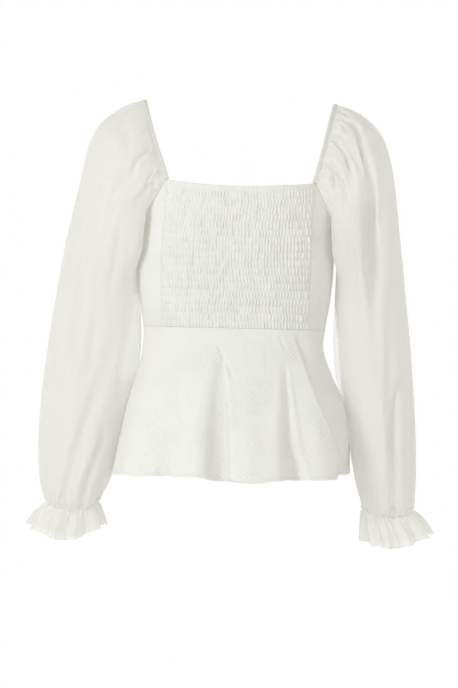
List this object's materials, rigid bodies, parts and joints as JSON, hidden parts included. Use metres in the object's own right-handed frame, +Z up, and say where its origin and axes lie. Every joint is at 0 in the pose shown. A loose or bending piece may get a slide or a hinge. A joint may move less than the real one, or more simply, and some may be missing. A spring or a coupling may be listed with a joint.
{
  "type": "peplum top",
  "caption": "Off-white peplum top, hollow as worn: square neck, shirred centre back, short fluted peplum, long sheer sleeves gathered into a wrist ruffle.",
  "frame": {"origin": "midway between the two shoulder tops of the neck edge, where the wearer's shoulders hold the top", "axes": "+Z up, the back of the top faces -Y and its front +Y, +X is the wearer's right"},
  "size_m": [0.5937, 0.3107, 0.6409],
  "materials": {
    "shirred_cotton": "off-white cotton, shirred with elastic",
    "dobby_cotton": "off-white cotton with a small raised woven square",
    "sheer_chiffon": "off-white sheer chiffon"
  },
  "bodies": {
    "root": {"back_panel": "shirred_cotton", "side_back_L": "dobby_cotton", "side_back_R": "dobby_cotton", "front_bodice": "dobby_cotton", "peplum_back": "dobby_cotton", "peplum_front": "dobby_cotton", "sleeve_L": "sheer_chiffon", "sleeve_R": "sheer_chiffon", "cuff_ruffle_L": "sheer_chiffon", "cuff_ruffle_R": "sheer_chiffon", "strap_L": "dobby_cotton", "strap_R": "dobby_cotton"}
  },
  "joints": []
}
